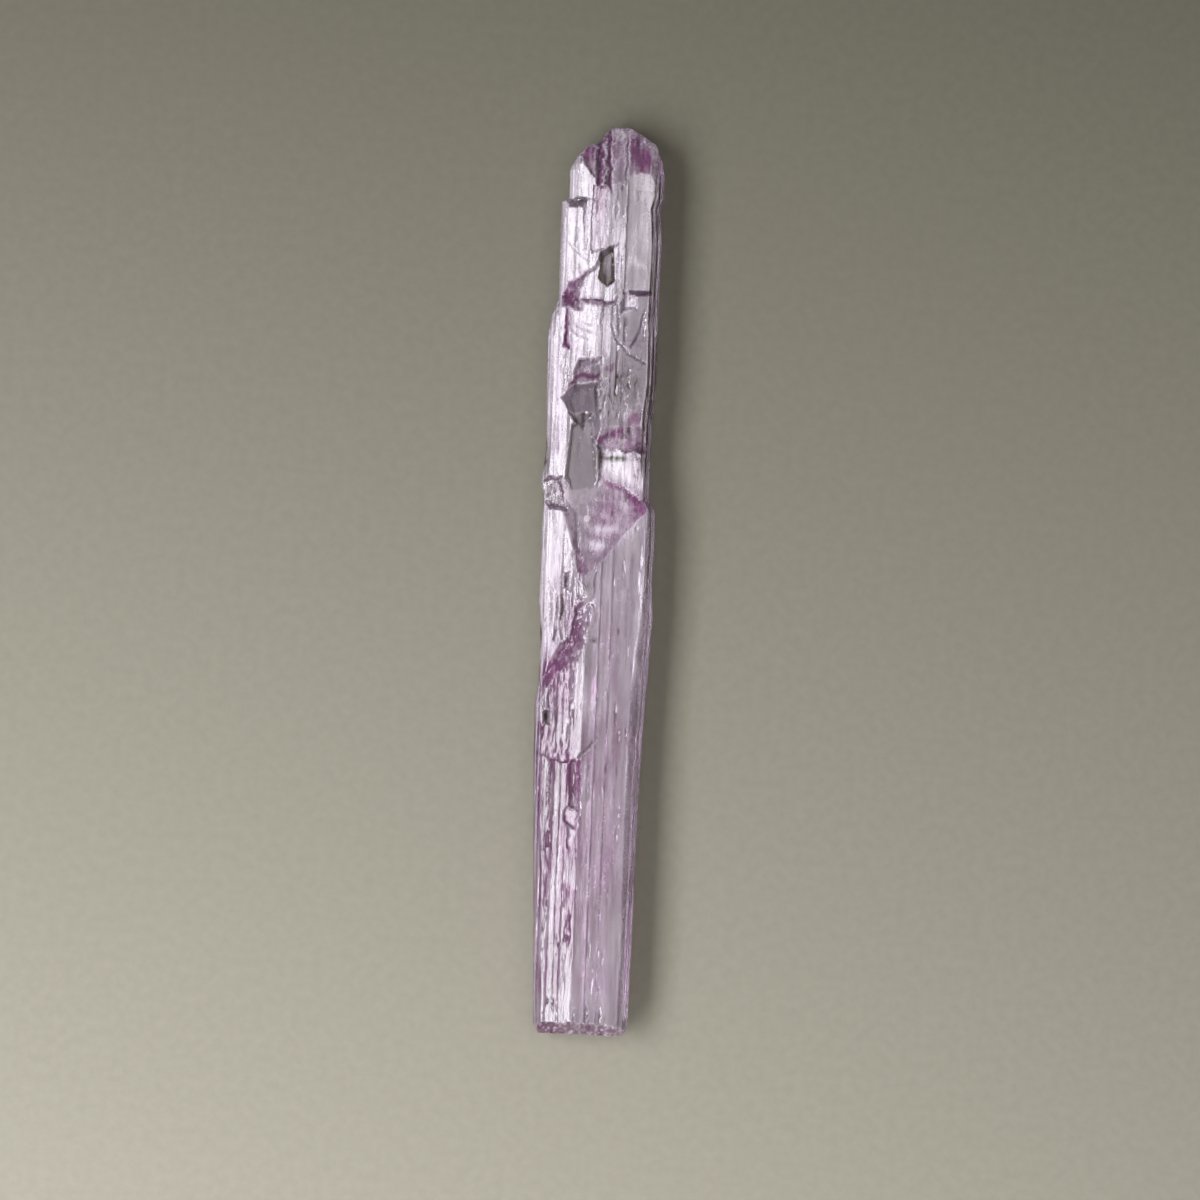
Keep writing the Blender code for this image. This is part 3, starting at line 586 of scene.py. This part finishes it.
def nicks(x, y):
    """Depth of the short lengthwise nicks: pointed slots scattered over the front."""
    random = np.random.default_rng(61)
    depth = np.zeros(x.shape)
    for _ in range(NICKS):
        middle_x = random.uniform(-8.2, 6.6)
        middle_y = random.uniform(-71.0, 66.0)
        half_length = random.uniform(0.6, 3.4)
        half_width = random.uniform(0.16, 0.42)
        deep = random.uniform(0.08, 0.28)
        shape = 1.0 - np.abs(x - middle_x) / half_width - np.abs(y - middle_y) / half_length
        depth = np.maximum(depth, deep * np.clip(shape * 1.6, 0.0, 1.0))
    return depth


def hairs(x, y):
    """How white the hair-fine curved streaks are, from 0 to 1: thin lines where a bent noise is zero."""
    bent = x + 0.9 * noise(x / 3.0, y / 7.0, 101) + 0.3 * noise(x / 1.2, y / 2.5, 102)
    return np.clip(1.0 - 7.0 * np.abs(noise(bent / 0.8, y / 8.0, 103)), 0.0, 1.0)


def plane_height(plane, x, y, shift_x, shift_y):
    """Height of one plane of a hollow. A steep plane is a wall, and its places are shifted raggedly."""
    at_x, at_y, z, rise_x, rise_y = plane
    if max(abs(rise_x), abs(rise_y)) > STEEP:
        x, y = x + shift_x, y + shift_y
    return z + rise_x * (x - at_x) + rise_y * (y - at_y)


def wear_and_shade_relief(height):
    """How far each point stands above its neighbours along the row and the column, in millimetres."""
    across = np.roll(height, 2, axis=1) + np.roll(height, -2, axis=1)
    along = np.roll(height, 1, axis=0) + np.roll(height, -1, axis=0)
    return np.clip(height - (across + along) / 4.0, -RIDGE_AND_GROOVE_LIMIT, RIDGE_AND_GROOVE_LIMIT)


def curved_steps(x, y):
    """Height of the close-set curved steps: waves at even distances from one point, in their zone."""
    distance = np.hypot(x + 1.5, y - 44.0)
    wave = 0.1 * np.sin(distance * 2.0 * math.pi / 1.15 + noise(x / 1.5, y / 1.5, 99))
    return wave * np.clip(zones(ARC_ZONES, x, y), 0.0, 1.0)


def grown_front(x, y, inside_left, inside_right, calm, frost):
    """Height of the uncut front, and the painted shade in its cracks.

    It is the lowest of the profile across the front and the two steep sides, all with growth lines.
    """
    lines = growth_lines(x, y, calm) + terraces(x, y) - nicks(x, y) * (1.0 - 0.6 * calm)
    height = along_points(FRONT_PROFILE, x) + lines + np.minimum(frost, 1.0) * etching(x, y)
    painted_shade = np.zeros_like(x)
    for path, half_width, depth in CRACKS:
        cracked = groove(x, y, path, half_width, depth)
        height = height - cracked
        # Painted shade in each crack, darker the deeper it is
        painted_shade = painted_shade + CRACK_SHADE * np.maximum(cracked, 0.0)
    height = height + curved_steps(x, y)
    steps = 0.45 * noise(x / 0.24, y / 30.0, 14, faceted=True)
    left_side = along_points(LEFT_SIDE, inside_left) + lines + steps * (inside_left > RIM)
    right_side = along_points(RIGHT_SIDE, inside_right) + lines + steps * (inside_right > RIM)
    for distance in SIDE_GROOVES:
        right_side -= 0.5 * np.clip(1.0 - np.abs(inside_right - distance) / 0.2, 0.0, 1.0)
    return np.minimum(np.minimum(height, left_side), right_side), painted_shade


def weathered(x, y, inside_right, wear_and_shade, grown, frost, violet, shade_and_film):
    """Frost, violet and dark brown with flecks, streaks, frosted ridges and painted shade in grooves
    and on the right side.
    """
    flecks = 0.6 * noise(x / 0.2, y / 0.4, 55) + 0.5 * noise(x / 0.5, y / 0.9, 56)
    flecks = flecks * np.clip(zones(FLECK_ZONES, x, y), 0.0, 1.0)
    frost = frost + 1.2 * np.maximum(flecks - 0.2, 0.0)
    shade_and_film = shade_and_film + 1.6 * np.maximum(-flecks - 0.1, 0.0)

    # Frost lies in long streaks and hairs, and is whitest on worn ridges
    streaks = 1.0 + 0.35 * noise(x / 0.45, y / 6.0, 95) + 0.35 * noise(x / 2.2, y / 5.0, 96)
    frost = frost * (streaks + 0.9 * hairs(x, y)) + WEAR_FROST * np.maximum(wear_and_shade, 0.0)
    # Painted shade in the grooves: dark brown, deeper the further a groove sinks below its neighbours
    shade_and_film = shade_and_film + GROOVE_SHADE_STRENGTH * np.maximum(-wear_and_shade - GROOVE_SHADE_START, 0.0)

    # Painted shade on the right side, which faces away from the light, lies in dark brown lines that are
    # also frosted; it is weaker below the break and gone at the tip
    side_shade_weight = np.clip((y - 14.0) / 6.0, 0.35, 1.0) * np.clip((67.0 - y) / 4.0, 0.0, 1.0)
    for distance, half_width, strength in SIDE_SHADE_LINES:
        painted_shade = strength * side_shade_weight * np.exp(-((inside_right - distance) / half_width) ** 2)
        shade_and_film = shade_and_film + painted_shade
        frost = frost + 0.7 * painted_shade

    # Violet lies in long streaks on grown faces and in small blots on broken ones
    streaked = 0.45 * grown * noise(x / 0.4, y / 5.0, 92)
    blotted = 0.2 * (1.0 - grown) * noise(x / 0.7, y / 0.5, 90)
    clouds = 0.85 + (streaked + blotted) + 0.35 * noise(x / 2.0, y / 4.0, 97)
    violet = violet * clouds * np.clip(1.0 - WEAR_FADE * wear_and_shade, 0.2, 1.0)
    shade_and_film = shade_and_film * (0.8 + 0.3 * noise(x / 0.6, y / 3.0, 91))
    return frost, violet, shade_and_film


def front_surface(x, y, left, right):
    """Height of the front, and how frosted, violet and dark brown it is, each from 0 to 1.

    Each hollow lowers the grown front to the highest of its planes, with that hollow's own finish.
    """
    inside_left = x - left
    inside_right = right - x
    calm = np.clip(zones(CALM_ZONES, x, y), 0.0, 1.0)
    zone_frost = np.clip(zones(FROST_ZONES, x, y), 0.0, MOST_FROST)
    zone_violet = zones(VIOLET_ZONES, x, y)
    height, shade_and_film = grown_front(x, y, inside_left, inside_right, calm, zone_frost)
    frost = zone_frost
    violet = zone_violet
    grown = np.ones_like(x)
    shift_x = 0.2 * noise(x / 1.2, y / 1.2, 81) + 0.12 * noise(x / 0.5, y / 0.5, 82)
    shift_y = 0.3 * noise(x / 1.0, y / 1.4, 83) + 0.15 * noise(x / 0.45, y / 0.5, 84)
    for finish, tint, *planes in FRONT_HOLLOWS.values():
        relief, hollow_frost, hollow_shade = FINISHES[finish]
        ragged = CLEAN_EDGE if finish in CLEAN_FINISHES else 1.0
        heights = [plane_height(plane, x, y, ragged * shift_x, ragged * shift_y) for plane in planes]
        floor = np.max(heights, axis=0) + relief(x, y)
        cut = floor < height
        clear = finish in CLEAR_FINISHES
        height = np.where(cut, floor, height)
        frost = np.where(cut, hollow_frost * (1.0 if clear else 0.5 + zone_frost), frost)
        violet = np.where(cut, tint + (0.0 if clear else zone_violet), violet)
        # A hollow's floor takes its finish's dark brown: painted shade of the recess
        shade_and_film = np.where(cut, hollow_shade, shade_and_film)
        grown = np.where(cut, finish not in BROKEN_FINISHES, grown)
    # Dark brown spots: painted shade in pits, notches, slots and under the hollow's roof, faint brown
    # tint elsewhere
    shade_and_film = shade_and_film + zones(SHADE_AND_FILM_ZONES, x, y)
    torn_x = x + TORN_EDGE * shift_x
    torn_y = y + TORN_EDGE * shift_y
    for path, half_width, depth in VIOLET_SEAMS:
        violet = violet + groove(torn_x, torn_y, path, half_width, depth)
    # Ridges gain frost, and grooves get painted shade
    wear_and_shade = wear_and_shade_relief(height) * (1.0 - 0.6 * calm)
    skins = weathered(x, y, inside_right, wear_and_shade, grown, frost, violet, shade_and_film)
    return np.minimum(height, THICKNESS), [np.clip(skin, 0.0, 1.0) for skin in skins]


def side_lines(z, y, seed):
    """Depth of the lengthwise grooves of an underside, which die out towards its lower edge."""
    broad = 0.3 * noise(z / 0.7, y / 35.0, seed, faceted=True)
    fine = 0.1 * noise(z / 0.3, y / 9.0, seed, faceted=True)
    return np.maximum(broad + fine, 0.0) * np.clip(z / 0.8, 0.0, 1.0)


def back_lines(x, y):
    """Height of the lengthwise grooves of the back, which leave flat bands to rest on."""
    broad = 0.45 * noise(x / 1.1, y / 40.0, 71, faceted=True)
    fine = 0.12 * noise(x / 0.5, y / 18.0, 72, faceted=True)
    return np.maximum(broad + fine - 0.05, 0.0)


def back_surface(x, y, height):
    """Height of the back once its hollows are cut: each raises it to the lowest of its planes."""
    for planes in BACK_HOLLOWS.values():
        roof = np.min([z + rise_x * (x - at_x) + rise_y * (y - at_y)
                       for at_x, at_y, z, rise_x, rise_y in planes], axis=0)
        height = np.maximum(height, roof)
    return height


def front_places():
    """Places of the front's columns across the nominal width: close together on the steep edges."""
    edge = EDGE_WIDTH * np.linspace(0.0, 1.0, FRONT_EDGE_COLUMNS, endpoint=False)
    middle = np.linspace(EDGE_WIDTH - NOMINAL_HALF, NOMINAL_HALF - EDGE_WIDTH, FRONT_MIDDLE_COLUMNS)
    return np.concatenate([edge - NOMINAL_HALF, middle, NOMINAL_HALF - edge[::-1]])


def raggedness(y, seed):
    """How far small chips cut into a side outline: most of all round the tip."""
    rough = 0.1 + 0.25 * np.clip((y - 62.0) / 8.0, 0.0, 1.0)
    chips = 0.6 * noise(y / 1.3, 0.0 * y, seed) + 0.4 * noise(y / 0.5, 0.0 * y + 7.0, seed)
    return rough * np.maximum(chips, 0.0)


def front_columns(left, right):
    """Places of the front's columns: the inner ones run straight, the outer ones follow the outlines."""
    place = front_places()[None, :]
    shoulder = np.minimum(NOMINAL_HALF - INNER_HALF, (right - left) / 6.0)
    inner_left = np.maximum(-INNER_HALF, left + shoulder)
    inner_right = np.minimum(INNER_HALF, right - shoulder)
    first = (place + NOMINAL_HALF) / (NOMINAL_HALF - INNER_HALF)
    middle = (place + INNER_HALF) / (2.0 * INNER_HALF)
    last = (place - INNER_HALF) / (NOMINAL_HALF - INNER_HALF)
    x = inner_left + (inner_right - inner_left) * middle
    x = np.where(place < -INNER_HALF, left + (inner_left - left) * first, x)
    return np.where(place > INNER_HALF, inner_right + (right - inner_right) * last, x)


def underside(points, outline, inward, y, narrow, seed):
    """Points of one underside, from the outline down to the back, with its grooves.

    Inward is 1 on the left and -1 on the right. Where the crystal is narrow, so is the underside.
    """
    distances, heights = zip(*points)
    step = np.linspace(0.0, len(points) - 1.0, UNDERSIDE_COLUMNS + 1)[1:]
    distance = np.interp(step, range(len(points)), distances)[None, :] * narrow
    z = np.interp(step, range(len(points)), heights)[None, :]
    x = outline + inward * (distance + side_lines(z, y, seed))
    side_y = np.broadcast_to(y, x.shape)
    z = np.maximum(back_surface(x, side_y, np.broadcast_to(z, x.shape)), 0.0)
    return np.stack([x, side_y, z], axis=-1)


def back_points(start, end, middle, y, narrow):
    """Points of the back, from the end of the right underside to that of the left one."""
    x = start + (end - start) * np.linspace(0.0, 1.0, BACK_COLUMNS + 2)[None, 1:-1]
    back_y = np.broadcast_to(y, x.shape)
    profile = along_points(BACK_PROFILE, (x - middle * (1.0 - narrow)) / narrow)
    lined = np.clip(1.0 - zones(PLAIN_BACK_ZONES, x, back_y), 0.0, 1.0)
    profile = (profile + back_lines(x, back_y)) * lined
    return np.stack([x, back_y, back_surface(x, back_y, profile)], axis=-1)


def crystal_grid():
    """Points of the crystal, (rows, columns, 3) in millimetres, and its frost, violet and dark brown.

    A row is one section across the crystal: over the front from left to right, down the right
    underside, along the back and up the left underside.
    """
    y = np.linspace(-HALF_LENGTH, HALF_LENGTH, ROWS)[:, None]
    left = along_points(LEFT_OUTLINE, y) + raggedness(y, 93)
    right = along_points(RIGHT_OUTLINE, y) - raggedness(y, 94)
    narrow = np.minimum(1.0, (right - left) / (2.0 * HALF_WIDTH))

    x = front_columns(left, right)
    front_y = np.broadcast_to(y, x.shape)
    front_z, skins = front_surface(x, front_y, left, right)
    front = np.stack([x, front_y, front_z], axis=-1)

    right_under = underside(RIGHT_UNDERSIDE, right, -1.0, y, narrow, 73)
    left_under = underside(LEFT_UNDERSIDE, left, 1.0, y, narrow, 74)[:, ::-1]
    middle = (left + right) / 2.0
    back = back_points(right_under[:, -1:, 0], left_under[:, :1, 0], middle, y, narrow)
    hidden = np.concatenate([right_under, back, left_under], axis=1)

    # Frost, violet and dark brown of the hidden faces lie in the same soft clouds
    around = hidden[..., 0] + hidden[..., 2]
    along = hidden[..., 1]
    clouds = 1.0 + 0.6 * noise(around / 0.5, along / 7.0, 104)
    clouds = clouds + 0.5 * noise(around / 2.0, along / 9.0, 105)
    skins = [np.concatenate([skin, plain * clouds], axis=1) for skin, plain in zip(skins, PLAIN_SKIN)]
    return np.concatenate([front, hidden], axis=1), skins


def cap(ring, outward, first, ring_start):
    """Rings that shrink towards the middle of an end section, and the faces that join them."""
    columns = len(ring)
    middle = ring.mean(axis=0)
    scales = np.linspace(1.0, 0.0, CAP_RINGS + 1)[1:-1]
    rings = middle + (ring - middle) * scales[:, None, None]
    dent = 0.25 * noise(rings[..., 0] / 1.5, rings[..., 2] / 1.1, 51) - 0.25
    rings[..., 1] += outward * dent * (1.0 - scales[:, None])
    points = np.concatenate([rings.reshape(-1, 3), middle[None]])
    index = np.concatenate([
        (ring_start + np.arange(columns))[None],
        first + np.arange(len(scales) * columns).reshape(-1, columns),
    ])
    after = np.roll(index, -1, axis=1)
    quads = np.stack([index[:-1], index[1:], after[1:], after[:-1]], axis=-1).reshape(-1, 4)
    centre = first + len(scales) * columns
    tris = np.stack([index[-1], np.full(columns, centre), after[-1]], axis=-1)
    if outward > 0.0:
        quads, tris = quads[:, ::-1], tris[:, ::-1]
    return points, quads, tris


def build_crystal():
    """Mesh of the crystal with its three attributes: frost, violet and dark brown."""
    grid, skins = crystal_grid()
    rows, columns, _ = grid.shape
    index = np.arange(rows * columns).reshape(rows, columns)
    after = np.roll(index, -1, axis=1)
    quads = np.stack([index[:-1], after[:-1], after[1:], index[1:]], axis=-1).reshape(-1, 4)
    points = grid.reshape(-1, 3)
    low_points, low_quads, low_tris = cap(grid[0], -1.0, len(points), 0)
    high_points, high_quads, high_tris = cap(
        grid[-1], 1.0, len(points) + len(low_points), (rows - 1) * columns,
    )
    points = np.concatenate([points, low_points, high_points])
    faces = np.concatenate([quads, low_quads, high_quads]).tolist()
    faces += np.concatenate([low_tris, high_tris]).tolist()

    mesh = bpy.data.meshes.new("kunzite_crystal_etched")
    mesh.from_pydata((points * MM).tolist(), [], faces)
    mesh.shade_smooth()
    mesh.set_sharp_from_angle(angle=math.radians(SHARP_ANGLE))

    # Violet is deeper where a face looks along the crystal
    normals = np.empty(len(points) * 3)
    mesh.vertex_normals.foreach_get("vector", normals)
    facing = np.abs(normals.reshape(-1, 3)[:, 1])
    ends = len(low_points) + len(high_points)
    frost, violet, shade_and_film = [
        np.concatenate([skin.ravel(), np.full(ends, plain)]) for skin, plain in zip(skins, PLAIN_SKIN)
    ]
    violet = np.clip(violet + 0.5 * np.clip(facing - 0.3, 0.0, 1.0), 0.0, 1.0)
    for name, values in {"frost": frost, "violet": violet, "shade_and_film": shade_and_film}.items():
        attribute = mesh.attributes.new(name, "FLOAT", "POINT")
        attribute.data.foreach_set("value", values.astype(np.float32))
    crystal = bpy.data.objects.new("kunzite_crystal_etched", mesh)
    bpy.context.collection.objects.link(crystal)
    return crystal


def linear(hex_colour):
    """Linear RGBA from an sRGB hex value such as 'c8b4d2'."""
    channels = [int(hex_colour[i:i + 2], 16) / 255.0 for i in (0, 2, 4)]
    return tuple(c / 12.92 if c <= 0.04045 else ((c + 0.055) / 1.055) ** 2.4 for c in channels) + (1.0,)


# Sockets of a Mix node for colours, by number, because other sockets of the node have the same names
MIX_FACTOR = 0
MIX_FIRST = 6
MIX_SECOND = 7
MIX_RESULT = 2


def add(tree, kind, settings=(), links=()):
    """Add a node, set its properties and sockets by name or socket number, and link its inputs."""
    node = tree.nodes.new(kind)
    for name, value in dict(settings).items():
        if isinstance(name, int) or name in node.inputs:
            node.inputs[name].default_value = value
        else:
            setattr(node, name, value)
    for name, source in dict(links).items():
        tree.links.new(source, node.inputs[name])
    return node


def kunzite_material():
    """Etched kunzite: clear lilac crystal, polished by growth on its panels and frosted where etched."""
    material = bpy.data.materials.new("etched_kunzite")
    material.use_nodes = True
    tree = material.node_tree
    tree.nodes.clear()
    violet = add(tree, "ShaderNodeAttribute", {"attribute_name": "violet"})
    frost = add(tree, "ShaderNodeAttribute", {"attribute_name": "frost"})
    shade_and_film = add(tree, "ShaderNodeAttribute", {"attribute_name": "shade_and_film"})
    place = add(tree, "ShaderNodeTexCoord").outputs["Object"]

    # Growth striations: from 0.6 mm down to 0.1 mm apart across the crystal, ten times as long
    stretch = add(tree, "ShaderNodeMapping", {"Scale": (1.0, 0.08, 1.0)}, {"Vector": place})
    lines = add(
        tree, "ShaderNodeTexNoise",
        {"Scale": 1700.0, "Detail": 4.0, "Roughness": 0.7, "Distortion": 0.4},
        {"Vector": stretch.outputs["Vector"]},
    )
    # Etching grain: pits of 0.3 mm and smaller
    grain = add(
        tree, "ShaderNodeTexNoise", {"Scale": 3200.0, "Detail": 3.0, "Roughness": 0.7}, {"Vector": place},
    )

    # The frost breaks up into streaks and grains
    streaks = add(
        tree, "ShaderNodeMapRange", {"From Min": 0.3, "From Max": 0.7, "To Min": 0.35, "To Max": 1.3},
        {"Value": lines.outputs["Fac"]},
    )
    grains = add(
        tree, "ShaderNodeMapRange", {"From Min": 0.3, "From Max": 0.7, "To Min": 0.7, "To Max": 1.2},
        {"Value": grain.outputs["Fac"]},
    )
    broken = add(
        tree, "ShaderNodeMath", {"operation": "MULTIPLY"},
        {0: streaks.outputs["Result"], 1: grains.outputs["Result"]},
    )
    skin = add(
        tree, "ShaderNodeMath", {"operation": "MULTIPLY", "use_clamp": True},
        {0: broken.outputs["Value"], 1: frost.outputs["Fac"]},
    )

    # Pale crystal, deep violet crystal, and a dark brown for brown tint and for painted shade
    tinted = add(
        tree, "ShaderNodeMix",
        {"data_type": "RGBA", MIX_FIRST: linear("f6edfa"), MIX_SECOND: linear("925488")},
        {MIX_FACTOR: violet.outputs["Fac"]},
    )
    colour = add(
        tree, "ShaderNodeMix", {"data_type": "RGBA", MIX_SECOND: linear("43362c")},
        {MIX_FACTOR: shade_and_film.outputs["Fac"], MIX_FIRST: tinted.outputs[MIX_RESULT]},
    )

    # Frosted skin is rougher and lets less light through than clear crystal
    roughness = add(
        tree, "ShaderNodeMapRange", {"To Min": 0.06, "To Max": 0.4}, {"Value": skin.outputs["Value"]},
    )
    clear = add(
        tree, "ShaderNodeMapRange", {"To Min": 0.94, "To Max": 0.4}, {"Value": skin.outputs["Value"]},
    )
    bump = add(
        tree, "ShaderNodeBump", {"Strength": 0.5, "Distance": 0.00008}, {"Height": lines.outputs["Fac"]},
    )
    shader = add(
        tree, "ShaderNodeBsdfPrincipled", {"IOR": 1.66},
        {
            "Base Color": colour.outputs[MIX_RESULT], "Roughness": roughness.outputs["Result"],
            "Transmission Weight": clear.outputs["Result"], "Normal": bump.outputs["Normal"],
        },
    )
    body = add(tree, "ShaderNodeVolumeAbsorption", {"Color": linear("dca8e6"), "Density": 16.0})
    output = add(
        tree, "ShaderNodeOutputMaterial", {},
        {"Surface": shader.outputs["BSDF"], "Volume": body.outputs["Volume"]},
    )
    output.is_active_output = True
    return material


def floor_material():
    """Matte warm grey floor with a roller grain, and painted light falloff: lighter at -Y, darker at +Y.
    """
    material = bpy.data.materials.new("floor_with_painted_falloff")
    material.use_nodes = True
    tree = material.node_tree
    shader = tree.nodes["Principled BSDF"]
    shader.inputs["Roughness"].default_value = 0.9
    shader.inputs["Specular IOR Level"].default_value = 0.2
    place = add(tree, "ShaderNodeTexCoord").outputs["Object"]
    apart = add(tree, "ShaderNodeSeparateXYZ", {}, {"Vector": place})
    # Painted light falloff: the paint is lighter towards -Y and darker towards +Y
    along = add(
        tree, "ShaderNodeMapRange", {"From Min": -0.1, "From Max": 0.1, "To Min": 0.0, "To Max": 1.0},
        {"Value": apart.outputs["Y"]},
    )
    shade = add(
        tree, "ShaderNodeMix",
        {"data_type": "RGBA", MIX_FIRST: linear("8f8c80"), MIX_SECOND: linear("5e5c51")},
        {MIX_FACTOR: along.outputs["Result"]},
    )
    # Roller grain: dimples 1.5 mm apart
    grain = add(tree, "ShaderNodeTexNoise", {"Scale": 650.0, "Detail": 3.0}, {"Vector": place})
    dust = add(
        tree, "ShaderNodeMapRange", {"From Min": 0.3, "From Max": 0.7, "To Min": 0.96, "To Max": 1.04},
        {"Value": grain.outputs["Fac"]},
    )
    paint = add(
        tree, "ShaderNodeHueSaturation", {},
        {"Color": shade.outputs[MIX_RESULT], "Value": dust.outputs["Result"]},
    )
    bump = add(
        tree, "ShaderNodeBump", {"Strength": 0.1, "Distance": 0.0001}, {"Height": grain.outputs["Fac"]},
    )
    tree.links.new(paint.outputs["Color"], shader.inputs["Base Color"])
    tree.links.new(bump.outputs["Normal"], shader.inputs["Normal"])
    return material


def build_floor():
    """Plain pale floor, a hair below z = 0 and well past the camera's view."""
    mesh = bpy.data.meshes.new("floor")
    half = 2.0
    level = -0.00002
    corners = [(-half, -half, level), (half, -half, level), (half, half, level), (-half, half, level)]
    mesh.from_pydata(corners, [], [(0, 1, 2, 3)])
    mesh.materials.append(floor_material())
    floor = bpy.data.objects.new("floor", mesh)
    bpy.context.collection.objects.link(floor)
    return floor


def add_area_light(name, place, size, power, colour):
    """Rectangular soft light at place, in metres, that faces the crystal with its long side along Y."""
    light = bpy.data.lights.new(name, "AREA")
    light.shape = "RECTANGLE"
    light.size, light.size_y = size
    light.energy = power
    light.color = colour
    lamp = bpy.data.objects.new(name, light)
    outward = Vector(place).normalized()
    across = Vector((0.0, 1.0, 0.0)).cross(outward).normalized()
    turn = Matrix((across, outward.cross(across), outward)).transposed()
    lamp.matrix_world = Matrix.Translation(place) @ turn.to_4x4()
    bpy.context.collection.objects.link(lamp)
    return lamp


def light_scene():
    """Window-like strip that shines on the left face, warm fill, softbox overhead and pale surround."""
    reach = 0.5
    tilt = math.radians(38.0)
    strip_place = (-reach * math.sin(tilt), -0.13, reach * math.cos(tilt))
    add_area_light("window_strip", strip_place, (0.20, 0.66), 4.2, (0.97, 0.97, 1.0))
    add_area_light("low_fill", (-0.1, -0.38, 0.22), (0.3, 0.12), 0.35, (1.0, 0.96, 0.9))
    add_area_light("overhead_softbox", (0.35, 0.0, 1.5), (1.2, 1.2), 7.0, (1.0, 0.98, 0.95))
    world = bpy.data.worlds.new("studio_surround")
    world.use_nodes = True
    background = world.node_tree.nodes["Background"]
    background.inputs["Color"].default_value = (1.0, 0.97, 0.92, 1.0)
    background.inputs["Strength"].default_value = 0.28
    bpy.context.scene.world = world


# View: straight down, turned a little, so that 192 mm of the front fills the frame
VIEW_CENTRE = (0.00086, -0.00307)
VIEW_WIDTH = 0.192
VIEW_ROLL = 2.4
VIEW_DISTANCE = 0.9
FRONT_LEVEL = 0.0085
SENSOR = 36.0


def add_camera():
    """Camera that looks down on the front at the photographed angle."""
    camera = bpy.data.cameras.new("camera")
    camera.sensor_width = SENSOR
    camera.sensor_fit = "HORIZONTAL"
    camera.lens = SENSOR * VIEW_DISTANCE / VIEW_WIDTH
    camera.clip_start = 0.01
    camera.clip_end = 20.0
    holder = bpy.data.objects.new("camera", camera)
    holder.location = (*VIEW_CENTRE, FRONT_LEVEL + VIEW_DISTANCE)
    holder.rotation_euler = (0.0, 0.0, math.radians(VIEW_ROLL))
    bpy.context.collection.objects.link(holder)
    bpy.context.scene.camera = holder


def set_look():
    """Plain colour transform and enough bounces for light to cross the clear crystal."""
    scene = bpy.context.scene
    scene.view_settings.view_transform = "Standard"
    scene.cycles.max_bounces = 16
    scene.cycles.transmission_bounces = 16
    scene.cycles.glossy_bounces = 6
    scene.cycles.sample_clamp_indirect = 6.0
    scene.cycles.use_denoising = True


crystal = build_crystal()
crystal.data.materials.append(kunzite_material())
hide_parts("kunzite_crystal")
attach(crystal, "root")
build_floor()
light_scene()
add_camera()
set_look()
